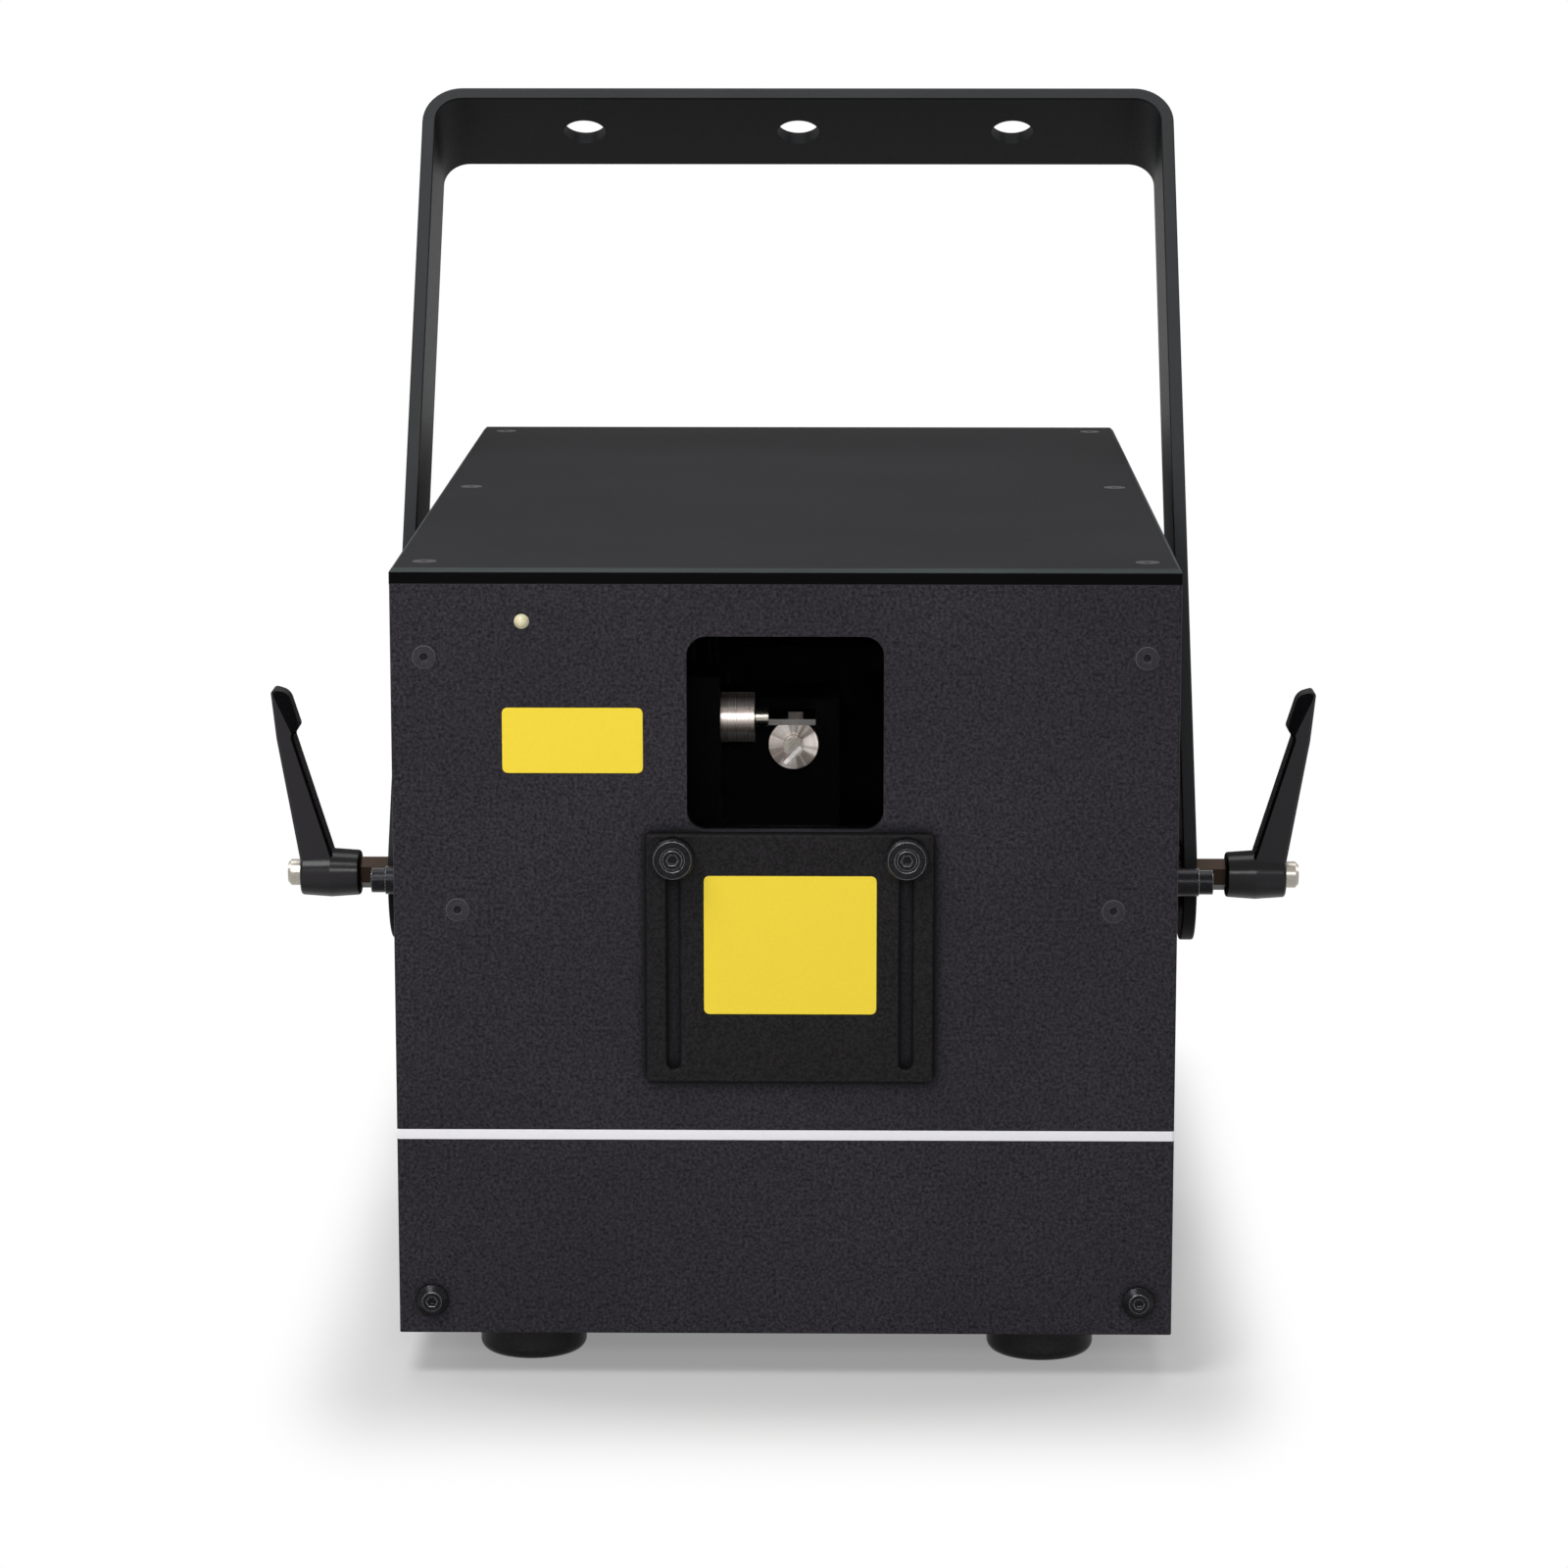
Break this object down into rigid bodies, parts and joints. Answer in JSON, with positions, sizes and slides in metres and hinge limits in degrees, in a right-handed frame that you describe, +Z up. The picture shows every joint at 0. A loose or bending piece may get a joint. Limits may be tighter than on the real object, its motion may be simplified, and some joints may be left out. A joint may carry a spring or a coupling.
{
  "type": "laser show projector",
  "caption": "Black box-shaped laser show projector with a square light aperture, sliding shutter, rubber feet and a tilting U bracket held by clamp levers.",
  "frame": {"origin": "centre of the bounding box on the surface the feet stand on, with the bracket as in the picture", "axes": "+X to the right seen from the front, +Y to the rear, +Z up; the light leaves along -Y"},
  "size_m": [0.3012, 0.3526, 0.3193],
  "materials": {
    "powder_black": "fine-textured powder coat",
    "satin_black_sheet": "smooth satin powder coat",
    "bracket_black": "satin powder coat on steel strap",
    "black_oxide_steel": "black oxide",
    "zinc_steel": "zinc plated",
    "bright_steel": "polished",
    "burnished_steel": "burnished",
    "lever_black": "satin black coat on die-cast zinc",
    "black_rubber": "moulded",
    "window_glass": "polished, clear",
    "led_lens": "diffused lens",
    "black_plastic": "moulded, fine grain",
    "gloss_black_plastic": "moulded",
    "anodised_black": "black anodised",
    "machined_aluminium": "machined",
    "galvo_can": "turned and brushed",
    "mirror_coat": "front-surface mirror",
    "optic_glass": "dichroic coated",
    "board_green": "solder-masked laminate",
    "case_steel": "galvanised sheet"
  },
  "bodies": {
    "housing": {"front_plate": "powder_black", "lid": "satin_black_sheet", "base_plate": "satin_black_sheet", "side_wall_left": "satin_black_sheet", "side_wall_right": "satin_black_sheet", "rear_panel": "satin_black_sheet", "countersunk_screws": "black_oxide_steel", "button_head_screws": "black_oxide_steel", "round_head_screws": "black_oxide_steel", "rubber_feet": "black_rubber", "foot_screws": "zinc_steel", "window_glass": "window_glass", "window_retainer": "anodised_black", "emission_led": "led_lens", "pivot_spacers": "black_oxide_steel", "pivot_nut_plates": "zinc_steel", "stop_screws": "black_oxide_steel", "stop_sleeves": "black_oxide_steel", "optical_bench": "anodised_black", "bench_posts": "machined_aluminium", "galvo_block": "anodised_black", "galvo_motor_x": "galvo_can", "galvo_motor_y": "galvo_can", "laser_module_red": "anodised_black", "laser_module_green": "anodised_black", "laser_module_blue": "anodised_black", "combiner_mounts": "anodised_black", "combiner_mirrors": "optic_glass", "power_supply": "case_steel", "laser_driver": "board_green", "galvo_driver": "board_green", "control_board": "board_green", "fan_frame": "black_plastic", "fan_guard": "zinc_steel", "mains_inlet": "black_plastic", "rocker_frame": "black_plastic", "key_switch": "zinc_steel", "data_inlet": "zinc_steel", "data_outlet": "zinc_steel", "signal_socket": "zinc_steel", "safety_lug": "zinc_steel"},
    "bracket": {"bracket": "bracket_black"},
    "lever_left": {"lever_stud_left": "burnished_steel", "lever_cap_left": "bright_steel"},
    "handle_left": {"lever_handle_left": "lever_black"},
    "lever_right": {"lever_stud_right": "burnished_steel", "lever_cap_right": "bright_steel"},
    "handle_right": {"lever_handle_right": "lever_black"},
    "shutter": {"shutter_plate": "powder_black"},
    "knob_left": {"shutter_knob_left": "black_oxide_steel"},
    "knob_right": {"shutter_knob_right": "black_oxide_steel"},
    "scanner_x": {"scan_shaft_x": "bright_steel", "scan_mirror_x": "mirror_coat"},
    "scanner_y": {"scan_shaft_y": "bright_steel", "scan_mirror_y": "mirror_coat"},
    "fan": {"fan_rotor": "black_plastic"},
    "rocker": {"power_rocker": "gloss_black_plastic"},
    "key": {"key_barrel": "bright_steel"},
    "latch": {"outlet_latch": "bright_steel"}
  },
  "joints": [
    {"name": "bracket_tilt", "type": "hinge", "parent": "housing", "child": "bracket", "pos_m": [0, 0.0033, 0.0985], "axis": [-1, 0, 0], "range_deg": [-42, 160]},
    {"name": "lever_turn_left", "type": "hinge", "parent": "housing", "child": "lever_left", "pos_m": [-0.1344, 0.0033, 0.0985], "axis": [1, 0, 0], "continuous": true},
    {"name": "lever_lift_left", "type": "slide", "parent": "lever_left", "child": "handle_left", "axis": [-1, 0, 0], "range_m": [0, 0.0035], "stiffness_N_per_m": 600, "springref_m": -0.004},
    {"name": "lever_turn_right", "type": "hinge", "parent": "housing", "child": "lever_right", "pos_m": [0.1344, 0.0033, 0.0985], "axis": [1, 0, 0], "continuous": true},
    {"name": "lever_lift_right", "type": "slide", "parent": "lever_right", "child": "handle_right", "axis": [1, 0, 0], "range_m": [0, 0.0035], "stiffness_N_per_m": 600, "springref_m": -0.004},
    {"name": "shutter_slide", "type": "slide", "parent": "housing", "child": "shutter", "axis": [0, 0, 1], "range_m": [0, 0.053]},
    {"name": "knob_turn_left", "type": "hinge", "parent": "housing", "child": "knob_left", "pos_m": [-0.0285, -0.174, 0.1385], "axis": [0, -1, 0], "range_deg": [0, 360]},
    {"name": "knob_turn_right", "type": "hinge", "parent": "housing", "child": "knob_right", "pos_m": [0.0309, -0.174, 0.1385], "axis": [0, -1, 0], "range_deg": [0, 360]},
    {"name": "scan_turn_x", "type": "hinge", "parent": "housing", "child": "scanner_x", "pos_m": [0.0016, -0.1287, 0.1673], "axis": [1, 0, 0], "range_deg": [-20, 20]},
    {"name": "scan_turn_y", "type": "hinge", "parent": "housing", "child": "scanner_y", "pos_m": [0.0016, -0.132, 0.1589], "axis": [0, 1, 0], "range_deg": [-20, 20]},
    {"name": "fan_spin", "type": "hinge", "parent": "housing", "child": "fan", "pos_m": [0.038, 0.142, 0.064], "axis": [0, 1, 0], "continuous": true},
    {"name": "rocker_tilt", "type": "hinge", "parent": "housing", "child": "rocker", "pos_m": [-0.06, 0.1533, 0.08], "axis": [-1, 0, 0], "range_deg": [0, 20]},
    {"name": "key_turn", "type": "hinge", "parent": "housing", "child": "key", "pos_m": [-0.06, 0.1563, 0.106], "axis": [0, -1, 0], "range_deg": [0, 90]},
    {"name": "latch_press", "type": "slide", "parent": "housing", "child": "latch", "axis": [0, -1, 0], "range_m": [0, 0.0015], "stiffness_N_per_m": 400, "springref_m": -0.002}
  ]
}
